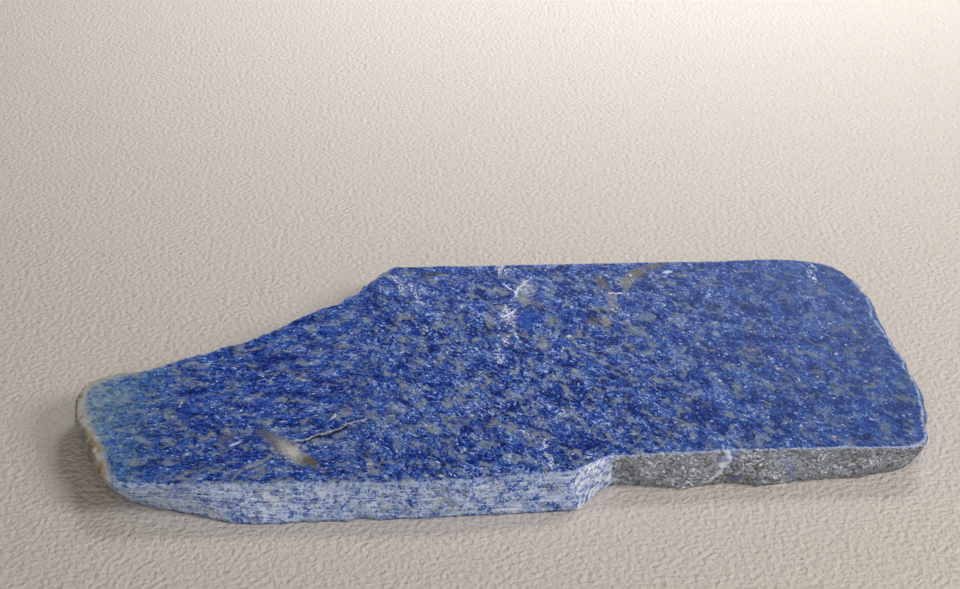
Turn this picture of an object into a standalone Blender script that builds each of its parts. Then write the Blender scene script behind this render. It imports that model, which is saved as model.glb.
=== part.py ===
"""A sawn slab of rough lapis lazuli, lying on its flat sawn underside.

The slab is one piece of stone. Its two broad faces and its back edge are saw cuts. The long front is a
rough cut that steps back to a face of dark host rock, the left end is weathered crust, and the back left
side and the right end are breaks. The wall is a loft between the outline of the top face and the
outline of the underside, which differ because the crust and the front corners are undercut.

Frame: X runs along the straight back edge, Y from front to back, Z up. The origin is the middle of the
slab's length and width, on the surface that it lies on.
"""

import math
from typing import NamedTuple

import bmesh
import bpy
from mathutils import Vector, noise
from mathutils.geometry import interpolate_bezier

MM = 0.001
LENGTH_MM = 163.0
THICKNESS_MM = 8.0

# The relief of the wall. A scar's reach and level are in shares of the scar size.
LUMP_SIZE_MM = 7.0
LUMP_FALLOFF = 0.9
LUMP_GAIN = 2.1
LUMP_OCTAVES = 4
SCAR_SIZE_MM = 6.0
SCAR_REACH = 0.77
SCAR_LEVEL = 0.35
RELIEF_AT_FACES = 0.3

# How finely the wall is divided along the rim and up its height, as shares of the thickness.
STATION_SPACING_MM = 1.3
WALL_HEIGHTS = (0.0, 0.045, 0.12, 0.24, 0.38, 0.52, 0.66, 0.79, 0.9, 0.965, 1.0)
NORMAL_REACH = 2
SMOOTH_UNDER = math.radians(32)
FLAT_FACE_NORMAL = 0.999

STONE_BLUE = (0.022, 0.066, 0.34, 1.0)
STONE_ROUGHNESS = 0.55


class Finish(NamedTuple):
    """How a stretch of the wall was made, in millimetres."""

    lip: float  # rounding of the edge of the top face
    heel: float  # rounding of the edge of the underside
    belly: float  # how far the middle of the wall stands out
    lump: float  # depth of the rolling relief
    scar: float  # depth of the shell-shaped hollows of a break, which meet in ridges


FINISHES = {
    "break": Finish(lip=0.4, heel=0.7, belly=0.3, lump=0.6, scar=2.2),
    "crust": Finish(lip=1.1, heel=2.0, belly=0.6, lump=0.9, scar=0.5),
    "rough cut": Finish(lip=0.5, heel=0.3, belly=0.0, lump=0.2, scar=0.0),
    "fresh break": Finish(lip=0.6, heel=0.5, belly=-0.3, lump=0.5, scar=1.2),
    "host rock": Finish(lip=0.3, heel=0.4, belly=0.2, lump=0.7, scar=1.5),
    "end break": Finish(lip=0.5, heel=0.8, belly=0.3, lump=0.6, scar=2.0),
    "saw cut": Finish(lip=0.2, heel=0.25, belly=0.0, lump=0.05, scar=0.0),
}


class RimPoint(NamedTuple):
    """A point that the outlines of the top face and the underside pass through, in millimetres."""

    finish: str
    top: tuple
    foot: tuple
    corner: bool = False


# The rim runs anticlockwise, seen from above, from the back left corner.
RIM = (
    RimPoint("break", top=(-21.5, 39.2), foot=(-21.0, 38.6), corner=True),
    RimPoint("break", top=(-26.6, 32.1), foot=(-27.4, 32.3)),
    RimPoint("break", top=(-30.2, 26.9), foot=(-31.3, 26.6)),
    RimPoint("break", top=(-36.3, 21.5), foot=(-36.7, 20.6)),
    RimPoint("break", top=(-43.6, 15.3), foot=(-44.6, 14.9)),
    RimPoint("break", top=(-47.5, 11.6), foot=(-48.0, 11.4)),
    RimPoint("break", top=(-54.0, 7.4), foot=(-54.6, 7.8)),
    RimPoint("break", top=(-63.3, 2.6), foot=(-63.6, 1.7)),
    RimPoint("break", top=(-69.8, -1.3), foot=(-69.6, -1.5)),
    RimPoint("crust", top=(-75.8, -2.8), foot=(-74.9, -4.4)),
    RimPoint("crust", top=(-79.7, -6.4), foot=(-78.0, -8.4)),
    RimPoint("crust", top=(-80.6, -12.0), foot=(-78.6, -13.6)),
    RimPoint("crust", top=(-78.8, -18.2), foot=(-76.8, -18.6)),
    RimPoint("crust", top=(-75.7, -24.8), foot=(-74.3, -23.8)),
    RimPoint("crust", top=(-73.4, -31.7), foot=(-71.8, -28.6)),
    RimPoint("crust", top=(-69.6, -37.8), foot=(-68.2, -32.2)),
    RimPoint("rough cut", top=(-63.5, -38.9), foot=(-63.3, -34.9)),
    RimPoint("rough cut", top=(-56.0, -38.9), foot=(-56.4, -37.2)),
    RimPoint("rough cut", top=(-48.5, -39.1), foot=(-49.0, -39.8)),
    RimPoint("rough cut", top=(-33.0, -39.2), foot=(-33.5, -39.8)),
    RimPoint("rough cut", top=(-18.0, -39.4), foot=(-18.0, -39.4)),
    RimPoint("rough cut", top=(-5.0, -38.9), foot=(-5.0, -38.7)),
    RimPoint("rough cut", top=(3.5, -37.8), foot=(3.8, -38.3)),
    RimPoint("rough cut", top=(11.4, -37.2), foot=(12.6, -37.7), corner=True),
    RimPoint("fresh break", top=(14.2, -35.1), foot=(14.6, -35.0)),
    RimPoint("fresh break", top=(18.4, -32.6), foot=(17.6, -31.4)),
    RimPoint("host rock", top=(22.6, -32.3), foot=(21.4, -30.5)),
    RimPoint("host rock", top=(31.5, -31.7), foot=(31.6, -31.6)),
    RimPoint("host rock", top=(39.5, -31.3), foot=(39.6, -30.1)),
    RimPoint("host rock", top=(47.2, -31.0), foot=(46.8, -31.1)),
    RimPoint("host rock", top=(57.0, -31.0), foot=(56.8, -29.8)),
    RimPoint("host rock", top=(68.0, -30.9), foot=(66.8, -28.3)),
    RimPoint("host rock", top=(75.0, -30.4), foot=(72.6, -27.2)),
    RimPoint("end break", top=(77.6, -28.0), foot=(75.9, -24.4)),
    RimPoint("end break", top=(78.7, -21.6), foot=(78.6, -19.9)),
    RimPoint("end break", top=(80.0, -12.4), foot=(80.6, -11.8)),
    RimPoint("end break", top=(79.9, -3.6), foot=(80.3, -3.0)),
    RimPoint("end break", top=(79.0, 4.6), foot=(78.6, 5.2)),
    RimPoint("end break", top=(77.8, 13.8), foot=(78.6, 13.2)),
    RimPoint("end break", top=(78.1, 20.6), foot=(78.4, 21.2)),
    RimPoint("end break", top=(76.9, 29.4), foot=(76.2, 29.0)),
    RimPoint("end break", top=(74.5, 36.1), foot=(74.2, 35.2)),
    RimPoint("saw cut", top=(69.4, 39.2), foot=(69.0, 38.9)),
    RimPoint("saw cut", top=(45.0, 39.9), foot=(45.0, 39.9)),
    RimPoint("saw cut", top=(10.0, 39.6), foot=(10.0, 39.7)),
)


class Chip(NamedTuple):
    """A shell-shaped flake that is missing from the rim: a ball that bites into it, in millimetres."""

    place: tuple
    radius: float


# Each ball's centre lies outside the stone, above the top face or below the underside.
CHIPS = (
    Chip((-34.9, 26.2, 10.2), 4.0),
    Chip((-47.9, 15.6, -2.6), 4.9),
    Chip((-59.6, 7.9, 10.3), 4.1),
    Chip((-72.0, 1.9, -1.8), 4.6),
    Chip((-83.0, -23.0, -1.4), 5.4),
    Chip((-60.6, -41.6, -1.6), 4.2),
    Chip((-26.0, -42.4, -2.0), 3.9),
    Chip((16.2, -37.9, 9.8), 3.9),
    Chip((28.0, -34.3, -1.9), 4.0),
    Chip((40.1, -33.6, 10.3), 3.6),
    Chip((61.8, -34.4, 9.7), 3.7),
    Chip((76.2, -33.3, -2.1), 6.0),
    Chip((83.4, -14.6, -1.9), 4.5),
    Chip((82.9, -4.2, 10.4), 4.3),
    Chip((80.9, 16.2, 10.1), 4.0),
    Chip((80.6, 27.0, -2.0), 4.4),
    Chip((79.4, 34.2, 10.0), 4.2),
)


def clear_scene():
    for old in list(bpy.data.objects):
        bpy.data.objects.remove(old, do_unlink=True)


def collection_named(name):
    made = bpy.data.collections.new(name)
    bpy.context.scene.collection.children.link(made)
    return made


def rim_guide(name, points, corners, collection):
    """A closed Bezier curve through the points, smooth except at the corners."""
    data = bpy.data.curves.new(name, "CURVE")
    data.dimensions = "3D"
    spline = data.splines.new("BEZIER")
    spline.bezier_points.add(len(points) - 1)
    spline.use_cyclic_u = True
    for knot, place, corner in zip(spline.bezier_points, points, corners):
        knot.co = place
        knot.handle_left_type = "VECTOR" if corner else "AUTO"
        knot.handle_right_type = knot.handle_left_type
    guide = bpy.data.objects.new(name, data)
    guide.hide_render = True
    guide.display_type = "WIRE"
    collection.objects.link(guide)
    bpy.context.view_layer.update()
    return guide


def sampled(guide, counts):
    """Points along the guide, with counts[i] of them from knot i up to the next knot."""
    knots = guide.data.splines[0].bezier_points
    points = []
    for i, count in enumerate(counts):
        here = knots[i]
        ahead = knots[(i + 1) % len(knots)]
        stretch = interpolate_bezier(here.co, here.handle_right, ahead.handle_left, ahead.co, count + 1)
        points.extend(stretch[:-1])
    return points


def finishes_along(counts):
    """The finish at each station, turning evenly from one rim point's finish to the next one's."""
    along = []
    for i, count in enumerate(counts):
        here = FINISHES[RIM[i].finish]
        ahead = FINISHES[RIM[(i + 1) % len(RIM)].finish]
        for step in range(count):
            share = step / count
            along.append(Finish(*(a + (b - a) * share for a, b in zip(here, ahead))))
    return along


def outward_normals(points):
    """The direction out of the slab at each station of an anticlockwise outline, evened over neighbours."""
    normals = []
    for i in range(len(points)):
        tangent = points[(i + NORMAL_REACH) % len(points)] - points[i - NORMAL_REACH]
        normals.append(Vector((tangent.y, -tangent.x, 0.0)).normalized())
    return normals


def edge_rounding(distance, radius):
    """How far a rounded edge draws the wall in, at a distance from the flat face that it meets."""
    if radius <= 0 or distance >= radius:
        return 0.0
    rise = (radius - distance) / radius
    return radius * (1.0 - math.sqrt(max(0.0, 1.0 - rise * rise)))


def relief(place, finish, height):
    """The relief of the wall, outward positive. It is low at the two flat faces, to keep their outline."""
    rolling = noise.fractal(place / LUMP_SIZE_MM, LUMP_FALLOFF, LUMP_GAIN, LUMP_OCTAVES)
    to_scar_middle = noise.voronoi(place / SCAR_SIZE_MM)[0][0]
    hollow = min(to_scar_middle / SCAR_REACH, 1.0) ** 2 - SCAR_LEVEL
    share = RELIEF_AT_FACES + (1.0 - RELIEF_AT_FACES) * math.sin(math.pi * height)
    return (finish.lump * rolling + finish.scar * hollow) * share


def bitten(place, on_flat_face):
    """The place after the chips: a point inside a ball moves to its surface, on a flat face along the face."""
    for chip in CHIPS:
        centre = Vector(chip.place)
        away = place - centre
        if on_flat_face:
            away.z = 0.0
            depth = place.z - centre.z
            reach = math.sqrt(max(0.0, chip.radius**2 - depth * depth))
        else:
            reach = chip.radius
        if 0 < away.length < reach:
            level = place.z
            place = centre + away.normalized() * reach
            place.z = level if on_flat_face else min(max(place.z, 0.0), THICKNESS_MM)
    return place


def wall_rings(guides):
    """Rings of points up the wall, from the outline of the underside to the outline of the top face."""
    counts = []
    for i, rim_point in enumerate(RIM):
        ahead = RIM[(i + 1) % len(RIM)]
        run = (Vector(ahead.top) - Vector(rim_point.top)).length
        counts.append(max(1, round(run / STATION_SPACING_MM)))
    corners = [rim_point.corner for rim_point in RIM]
    top_points = [(*rim_point.top, 0.0) for rim_point in RIM]
    foot_points = [(*rim_point.foot, 0.0) for rim_point in RIM]
    top = sampled(rim_guide("top_outline", top_points, corners, guides), counts)
    foot = sampled(rim_guide("foot_outline", foot_points, corners, guides), counts)
    normals = outward_normals(top)
    finishes = finishes_along(counts)
    rings = []
    for height in WALL_HEIGHTS:
        z = height * THICKNESS_MM
        on_flat_face = height in (0.0, 1.0)
        ring = []
        for upper, lower, normal, finish in zip(top, foot, normals, finishes):
            place = lower.lerp(upper, height)
            place.z = z
            shift = finish.belly * (1.0 - (2.0 * height - 1.0) ** 2)
            shift += finish.lip - edge_rounding(THICKNESS_MM - z, finish.lip)
            shift -= edge_rounding(z, finish.heel)
            shift += relief(place, finish, height)
            ring.append(bitten(place + normal * shift, on_flat_face))
        rings.append(ring)
    return rings


def centred_to_length(rings):
    """The rings in metres, with the middle of the outline at the origin and the slab at its full length."""
    points = [place for ring in rings for place in ring]
    low = Vector(map(min, zip(*points)))
    high = Vector(map(max, zip(*points)))
    middle = Vector(((low.x + high.x) / 2, (low.y + high.y) / 2, 0.0))
    stretch = LENGTH_MM / (high.x - low.x)
    size = Vector((stretch, stretch, 1.0)) * MM
    return [[(place - middle) * size for place in ring] for ring in rings]


def lofted_mesh(name, rings):
    """A closed mesh: one face under the first ring, one over the last, and quads between the rings."""
    mesh = bpy.data.meshes.new(name)
    shape = bmesh.new()
    levels = [[shape.verts.new(place) for place in ring] for ring in rings]
    shape.faces.new(reversed(levels[0]))
    shape.faces.new(levels[-1])
    for lower, upper in zip(levels, levels[1:]):
        for i in range(len(lower)):
            ahead = (i + 1) % len(lower)
            shape.faces.new((lower[i], lower[ahead], upper[ahead], upper[i]))
    bmesh.ops.triangulate(shape, faces=shape.faces[:])
    shape.to_mesh(mesh)
    shape.free()
    mesh.shade_smooth()
    mesh.set_sharp_from_angle(angle=SMOOTH_UNDER)
    for face in mesh.polygons:
        face.use_smooth = abs(face.normal.z) < FLAT_FACE_NORMAL
    return mesh


def stone_material():
    material = bpy.data.materials.new("lapis_lazuli")
    material.use_nodes = True
    shader = material.node_tree.nodes["Principled BSDF"]
    shader.inputs["Base Color"].default_value = STONE_BLUE
    shader.inputs["Roughness"].default_value = STONE_ROUGHNESS
    shader.inputs["Metallic"].default_value = 0.0
    return material


def main():
    clear_scene()
    stone = collection_named("rough_lapis_lazuli_slab")
    guides = collection_named("guides")
    rings = centred_to_length(wall_rings(guides))
    mesh = lofted_mesh("lapis_slab", rings)
    mesh.materials.append(stone_material())
    stone.objects.link(bpy.data.objects.new("lapis_slab", mesh))


main()
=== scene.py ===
"""The looks of a sawn slab of rough lapis lazuli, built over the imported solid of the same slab.

The sawn faces stay flat. The wall round them gets the fine relief of each kind of edge: weathered crust,
sawn and broken stone, and dark host rock. One material then reads where it is on the stone.
"""

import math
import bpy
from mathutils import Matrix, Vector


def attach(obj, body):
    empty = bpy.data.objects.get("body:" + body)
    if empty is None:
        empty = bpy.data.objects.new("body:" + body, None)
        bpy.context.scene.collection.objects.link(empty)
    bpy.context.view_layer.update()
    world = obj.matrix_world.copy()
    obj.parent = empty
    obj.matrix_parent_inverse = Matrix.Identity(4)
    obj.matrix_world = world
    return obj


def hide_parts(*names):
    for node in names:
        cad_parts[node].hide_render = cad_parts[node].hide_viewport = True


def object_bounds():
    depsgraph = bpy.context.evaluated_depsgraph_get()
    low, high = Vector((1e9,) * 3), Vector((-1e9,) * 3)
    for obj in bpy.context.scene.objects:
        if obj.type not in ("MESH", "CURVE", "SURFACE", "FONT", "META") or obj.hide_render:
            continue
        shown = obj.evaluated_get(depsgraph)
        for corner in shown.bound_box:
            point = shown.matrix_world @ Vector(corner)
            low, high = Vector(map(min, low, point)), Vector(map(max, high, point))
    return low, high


bl_info = {
    "name": "Rough lapis lazuli slab",
    "version": (1, 0, 0),
    "blender": (4, 5, 0),
    "location": "3D View > Sidebar > Lapis",
    "description": "Models the fine surface of a sawn lapis lazuli slab and sets a plain stage for it",
    "category": "Object",
}

import bmesh
import bpy
import numpy as np
from bpy.props import FloatProperty, FloatVectorProperty, IntProperty, PointerProperty
from mathutils import Vector
from mathutils.kdtree import KDTree

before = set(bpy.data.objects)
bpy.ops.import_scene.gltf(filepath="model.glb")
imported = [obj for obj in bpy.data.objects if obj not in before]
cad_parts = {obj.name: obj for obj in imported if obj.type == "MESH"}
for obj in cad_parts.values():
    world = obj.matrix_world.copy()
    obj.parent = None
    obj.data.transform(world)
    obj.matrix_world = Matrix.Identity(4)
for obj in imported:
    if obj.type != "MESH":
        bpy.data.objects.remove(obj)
CAD_BOX = [list(corner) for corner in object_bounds()]
CAD_NODE = "lapis_slab"

MM = 0.001
UNDERSIDE, TOP_FACE = CAD_BOX[0][2], CAD_BOX[1][2]
NEAR = 0.01 * MM
MERGE_DISTANCE = 0.002 * MM
LEVEL_NORMAL = 0.9999
LEAST_WEIGHT = 0.001
TOP_RINGS, UNDERSIDE_RINGS = 5, 3
SHARP_ANGLE = math.radians(40)
SENSOR_MM = 36.0
CLIP_START = 0.01
BACKDROP_SPREAD = math.radians(69)
SKY_COLOUR = (1.0, 0.93, 0.82, 1.0)
MATTE = 0.9
LOW_SPECULAR = 0.16
CAMERA_PLACE_MM = (-11.873, -283.036, 186.904)
CAMERA_DIRECTION = (0.023794, 0.865698, -0.5)

# Where the kinds of edge change, in millimetres along X and Y.
CRUST_ENDS_MM = -71.5
NOTCH_MM = (11.6, 19.6)
ROCK_ENDS_MM = 77.0
FRONT_WALL_MM = -26.0
BACK_EDGE_MM = 38.0
RIGHT_BREAK_MM = 71.0

# The marks of the sawn top, which lie where they do on the real slab. Colours are sRGB values or names of the
# material's settings. "chain" breaks a mark up into white grains, "granular" frays it, and "soft" shades it a little.
CALCITE, BONE, SHADOW = "#e2eafa", "#a3a39a", "#16181f"

# Each patch: centre and reach in millimetres, turn in degrees, raggedness, strength, texture and colour.
TOP_PATCHES = (
    ((-39.9, -28.6), (6.6, 2.1), -52.0, 0.9, 0.9, "soft", "#8d887c"),
    ((-39.2, -29.2), (3.6, 2.1), -48.0, 1.0, 0.9, "soft", "#b4b0a8"),
    ((-38.7, -29.6), (1.7, 1.1), -42.0, 0.9, 0.7, "soft", "#cfcfcc"),
    ((-44.2, -23.8), (2.2, 1.2), -45.0, 1.0, 0.7, "soft", "#6a6354"),
    ((-35.4, -32.6), (2.1, 1.4), -40.0, 0.9, 0.85, "soft", "#655b44"),
    ((-51.1, -24.5), (1.5, 1.4), 0.0, 0.7, 0.7, "granular", "#6c665c"),
    ((-49.4, -26.4), (1.2, 0.4), 35.0, 0.5, 0.9, "granular", CALCITE),
    ((1.6, 37.4), (1.6, 2.4), 10.0, 0.9, 0.8, "chain", CALCITE),
    ((6.3, 28.6), (2.0, 3.6), 0.0, 0.8, 0.6, "soft", "#9ea4a8"),
    ((6.4, 29.2), (1.8, 3.4), 0.0, 0.8, 0.7, "chain", CALCITE),
    ((2.2, 18.2), (1.9, 3.4), -10.0, 1.0, 0.95, "chain", CALCITE),
    ((0.9, 8.9), (0.9, 3.4), 15.0, 0.7, 1.0, "chain", CALCITE),
    ((-0.2, 2.2), (0.8, 3.6), 0.0, 0.7, 0.9, "chain", CALCITE),
    ((2.8, 13.4), (0.8, 2.6), 0.0, 0.7, 0.8, "chain", CALCITE),
    ((6.0, 16.5), (2.2, 3.6), -10.0, 0.7, 0.75, "soft", "#1a4cb4"),
    ((14.2, 9.4), (0.55, 0.5), 0.0, 0.2, 1.0, "granular", "#f2f2f0"),
    ((8.6, 22.5), (1.2, 1.5), 0.0, 0.9, 0.55, "soft", "brown"),
    ((11.7, 15.9), (1.1, 1.2), 0.0, 0.9, 0.5, "soft", "brown"),
    ((19.6, 15.0), (1.9, 1.5), -20.0, 1.0, 0.7, "soft", "#665a42"),
    ((22.4, 15.4), (1.3, 1.6), 20.0, 1.0, 0.65, "soft", "#b0a88c"),
    ((22.9, 30.6), (1.1, 4.4), 14.0, 0.9, 0.7, "soft", "#736a50"),
    ((24.4, 23.0), (1.1, 4.6), 6.0, 0.9, 0.65, "soft", "#989484"),
    ((28.0, 31.0), (1.3, 3.2), -12.0, 0.8, 0.75, "soft", "#8e8c74"),
    ((31.0, 35.4), (3.4, 1.7), 45.0, 0.9, 0.7, "soft", "#8a836a"),
    ((35.0, 38.0), (2.6, 1.2), 25.0, 0.9, 0.65, "soft", "#6f664e"),
    ((29.0, 33.2), (0.7, 2.2), 5.0, 0.9, 0.9, "chain", CALCITE),
    ((37.2, 35.3), (1.1, 0.6), 20.0, 0.6, 0.9, "soft", CALCITE),
    ((68.9, 36.8), (0.75, 1.7), 20.0, 0.6, 1.0, "chain", CALCITE),
    ((68.1, 32.6), (0.8, 2.9), 5.0, 0.6, 1.0, "chain", CALCITE),
    ((68.8, 25.8), (0.9, 2.0), 0.0, 0.8, 0.6, "granular", BONE),
    ((-13.3, 35.8), (2.2, 1.0), 0.0, 1.0, 0.7, "granular", "#54402f"),
    ((-44.6, 2.8), (2.6, 2.0), 0.0, 0.7, 0.75, "granular", "navy"),
    ((37.0, -17.2), (2.6, 3.4), 0.0, 0.7, 0.75, "granular", "navy"),
)

# Lines in millimetres, each sorted along the axis that it follows. The crack's shadow lies beside it.
SHADOW_OFFSET_MM = 0.8
LOWER_VEIN = ((22.3, -15.1), (24.8, -16.2), (27.4, -17.0), (30.4, -17.7), (33.0, -19.2))
GREY_VEIN = ((-37.4, 7.3), (-33.8, 7.6), (-30.0, 6.9), (-26.9, 6.9), (-25.8, 5.0), (-23.5, 2.7))
CRACK_RIGHT = (
    (-39.0, -25.9),
    (-37.2, -25.7),
    (-34.8, -24.1),
    (-33.0, -23.4),
    (-31.2, -22.5),
    (-29.2, -20.8),
    (-25.8, -19.2),
)
CRACK_LEFT = (
    (-49.1, -38.4),
    (-48.6, -36.7),
    (-47.9, -35.2),
    (-47.1, -34.2),
    (-44.8, -32.7),
    (-43.4, -31.5),
    (-42.6, -30.2),
)

# Each vein: the axis across it, the axis along it, its line, half width, strength, texture and colour.
TOP_VEINS = (
    ("x", "y", ((26.6, -19.6), (30.0, -20.0), (33.0, -20.7), (35.7, -21.8)), 0.9, 0.9, "chain", CALCITE),
    ("x", "y", LOWER_VEIN, 0.8, 0.9, "chain", CALCITE),
    ("x", "y", ((9.6, -14.5), (14.7, -14.9)), 0.7, 0.9, "chain", CALCITE),
    ("x", "y", ((28.0, 3.9), (30.9, 1.7)), 0.35, 0.7, None, CALCITE),
    ("x", "y", ((8.5, 3.9), (11.4, 3.0)), 0.3, 0.8, None, CALCITE),
    ("y", "x", ((23.7, 26.4), (26.7, 26.3)), 0.4, 0.9, None, CALCITE),
    ("x", "y", GREY_VEIN, 0.7, 0.9, "chain", CALCITE),
    ("y", "x", tuple((a, c - SHADOW_OFFSET_MM) for a, c in CRACK_RIGHT[1:6]), 0.65, 0.95, None, SHADOW),
    ("y", "x", CRACK_RIGHT, 0.28, 0.85, "soft", "#c6c5b8"),
    ("y", "x", tuple((a, c - SHADOW_OFFSET_MM) for a, c in CRACK_LEFT), 0.4, 0.5, "granular", SHADOW),
    ("y", "x", CRACK_LEFT, 0.95, 0.7, "granular", "#a09c8c"),
    ("x", "y", ((35.6, 0.6), (37.9, 1.5), (39.7, 1.9)), 0.28, 0.95, None, CALCITE),
    ("y", "x", ((1.5, 30.8), (2.5, 29.8), (3.6, 28.3)), 0.4, 0.9, None, CALCITE),
    ("x", "y", ((25.4, 4.3), (29.0, 4.8), (31.1, 6.0), (32.8, 7.3)), 0.32, 0.95, None, CALCITE),
    ("y", "x", ((0.7, 17.7), (1.5, 17.7), (2.6, 18.5), (3.9, 20.0)), 0.5, 0.95, None, CALCITE),
    ("x", "y", ((16.3, 1.9), (19.8, 2.0), (22.5, 1.8)), 0.25, 0.95, None, CALCITE),
    ("y", "x", ((3.2, 15.9), (4.2, 17.5), (5.4, 19.6)), 0.4, 0.6, "soft", BONE),
    ("y", "x", ((-32.5, -18.9), (-31.6, -17.8)), 0.7, 0.8, "soft", CALCITE),
)

# The same for the wall of host rock, where the texture of every vein is "soft".
ROCK_VEINS = (
    ("x", "z", ((2.1, 37.6), (3.0, 38.7), (5.3, 39.3), (7.9, 40.2)), 0.6, 0.8, "#dfe5f2"),
    ("x", "z", ((5.0, 39.6), (7.9, 41.0)), 1.5, 0.6, "#6c90e4"),
    ("x", "z", ((4.2, 39.2), (6.0, 40.4), (7.9, 40.0)), 0.5, 0.9, "#eef2fa"),
    ("x", "z", ((0.6, 40.5), (2.6, 42.6)), 1.3, 0.5, "#5f7ed0"),
    ("x", "z", ((0.9, 52.7), (3.7, 51.9), (6.6, 50.3)), 1.2, 0.42, "#8492c4"),
    ("z", "x", ((22.6, 2.0), (24.3, 3.8), (26.4, 5.5)), 0.5, 0.6, "#a3a9b4"),
    ("z", "x", ((34.0, 0.6), (36.6, 1.4), (38.4, 2.6)), 0.4, 0.7, "#d3daea"),
)


def linear(colour):
    """A linear colour from an sRGB hex value."""
    channels = [int(colour[i : i + 2], 16) / 255 for i in (1, 3, 5)]
    return tuple(c / 12.92 if c <= 0.04045 else ((c + 0.055) / 1.055) ** 2.4 for c in channels)


def length(name, description, millimetres):
    return FloatProperty(name=name, description=description, default=millimetres * MM, unit="LENGTH")


def tint(name, description, colour):
    return FloatVectorProperty(
        name=name, description=description, default=linear(colour), subtype="COLOR", min=0.0, max=1.0
    )


class LapisRelief(bpy.types.PropertyGroup):
    """How deep the fine relief of each kind of edge is."""

    crust: length("Crust", "Depth of the lumps and pits of the weathered left end", 1.3)
    broken: length("Breaks", "Depth of the small scars of the broken edges", 0.9)
    grain: length("Grain", "Depth of the crystal grain that shows on every broken edge", 0.4)
    rock: length("Host rock", "Depth of the pits and grains of the dark host rock", 0.9)
    rough_cut: length("Rough cut", "Depth of the uneven, unpolished front cut", 0.3)
    nick: length("Nicks", "Depth of the nicks along the sawn edges", 0.9)
    rim_ring: length("Rim ring", "Width of each ring of faces inside the edge of a flat face", 0.3)
    wall_levels: IntProperty(name="Wall levels", description="How finely the wall is divided", default=2)


class LapisColours(bpy.types.PropertyGroup):
    """The minerals' own colours."""

    navy: tint("Dense lazurite", "The darkest blue patches", "#051c72")
    deep: tint("Deep lazurite", "The main deep blue", "#1740a3")
    blue: tint("Lazurite", "The middle blue", "#345fb6")
    pale: tint("Mixed grains", "Blue grains clouded with calcite", "#5178bf")
    clouded: tint("Clouded grains", "The palest blue grains", "#7493d0")
    white: tint("Calcite", "White calcite of veins and flecks", "#dfeaff")
    beige: tint("Beige calcite", "Grey-beige flecks of calcite and mica", "#909e9e")
    dust: tint("Saw dust", "Pale powder left in the unpolished cut", "#d6e5ff")
    rock: tint("Host rock", "The dull grey rock beside the lapis", "#9299a6")
    ochre: tint("Iron stain", "The rusty stain of the weathered crust", "#a07a3e")
    brown: tint("Golden-brown mica", "The brown patches near the back edge", "#7d7a66")


class LapisStage(bpy.types.PropertyGroup):
    """The plain stage, its soft light and the camera."""

    floor: tint("Floor", "Colour of the pale floor", "#d5ccc4")
    floor_size: FloatProperty(name="Floor size", description="Side of the floor", default=3.0, unit="LENGTH")
    key_power: FloatProperty(name="Key light", description="Power of the key light", default=1.2, subtype="POWER")
    fill_power: FloatProperty(
        name="Fill light", description="Power of the light over the floor behind", default=0.98, subtype="POWER"
    )
    front_power: FloatProperty(
        name="Front light", description="Power of the front light", default=1.54, subtype="POWER"
    )
    sky: FloatProperty(name="Sky", description="Strength of the even light all round", default=0.11)
    lens: FloatProperty(name="Lens", description="Focal length of the camera in millimetres", default=63.75)


def select_only(piece):
    bpy.ops.object.select_all(action="DESELECT")
    piece.select_set(True)
    bpy.context.view_layer.objects.active = piece


def select_where(piece, kind, test):
    """In edit mode, select the vertices, edges or faces that pass the test, and nothing else."""
    bpy.ops.mesh.select_mode(type=kind)
    bpy.ops.mesh.select_all(action="DESELECT")
    shape = bmesh.from_edit_mesh(piece.data)
    elements = {"VERT": shape.verts, "EDGE": shape.edges, "FACE": shape.faces}[kind]
    for element in elements:
        if test(element):
            element.select_set(True)
    shape.select_flush_mode()
    bmesh.update_edit_mesh(piece.data)


def apply_modifier(piece, name, kind, **settings):
    modifier = piece.modifiers.new(name, kind)
    for setting, value in settings.items():
        setattr(modifier, setting, value)
    select_only(piece)
    bpy.ops.object.modifier_apply(modifier=name)


def smooth_step(value, low, high):
    share = np.clip((value - low) / (high - low), 0.0, 1.0)
    return share * share * (3.0 - 2.0 * share)


def places_of(mesh):
    places = np.empty(len(mesh.vertices) * 3)
    mesh.vertices.foreach_get("co", places)
    return places.reshape(-1, 3)


def edge_kinds(places):
    """How much of each kind of edge a place on the wall has, from 0 to 1."""
    x, y = places[:, 0] / MM, places[:, 1] / MM
    front = 1.0 - smooth_step(y, FRONT_WALL_MM, FRONT_WALL_MM + 3.0)
    crust = 1.0 - smooth_step(x, CRUST_ENDS_MM - 2.0, CRUST_ENDS_MM + 3.5)
    rough_cut = front * (1.0 - crust) * (1.0 - smooth_step(x, NOTCH_MM[0], NOTCH_MM[0] + 0.5))
    notch = front * smooth_step(x, NOTCH_MM[0], NOTCH_MM[0] + 0.5)
    notch = notch * (1.0 - smooth_step(x, NOTCH_MM[1] - 1.2, NOTCH_MM[1] + 0.4))
    rock = front * smooth_step(x, NOTCH_MM[1] - 1.2, NOTCH_MM[1] + 0.4)
    rock = rock * (1.0 - smooth_step(x, ROCK_ENDS_MM - 2.0, ROCK_ENDS_MM + 2.0))
    back_cut = smooth_step(y, BACK_EDGE_MM - 1.0, BACK_EDGE_MM + 0.5)
    back_cut = back_cut * (1.0 - smooth_step(x, RIGHT_BREAK_MM - 3.0, RIGHT_BREAK_MM + 1.0))
    broken = np.clip(1.0 - front - crust - back_cut, 0.0, 1.0)
    right_corner = front * smooth_step(x, ROCK_ENDS_MM - 2.0, ROCK_ENDS_MM + 2.0)
    return {
        "crust": crust,
        "rough_cut": rough_cut,
        "notch": notch,
        "rock": rock,
        "back_cut": back_cut,
        "broken": np.clip(broken + right_corner, 0.0, 1.0),
    }


def store(mesh, name, values, domain="POINT"):
    attribute = mesh.attributes.new(name, "FLOAT", domain)
    attribute.data.foreach_set("value", values.astype(np.float32))


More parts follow.
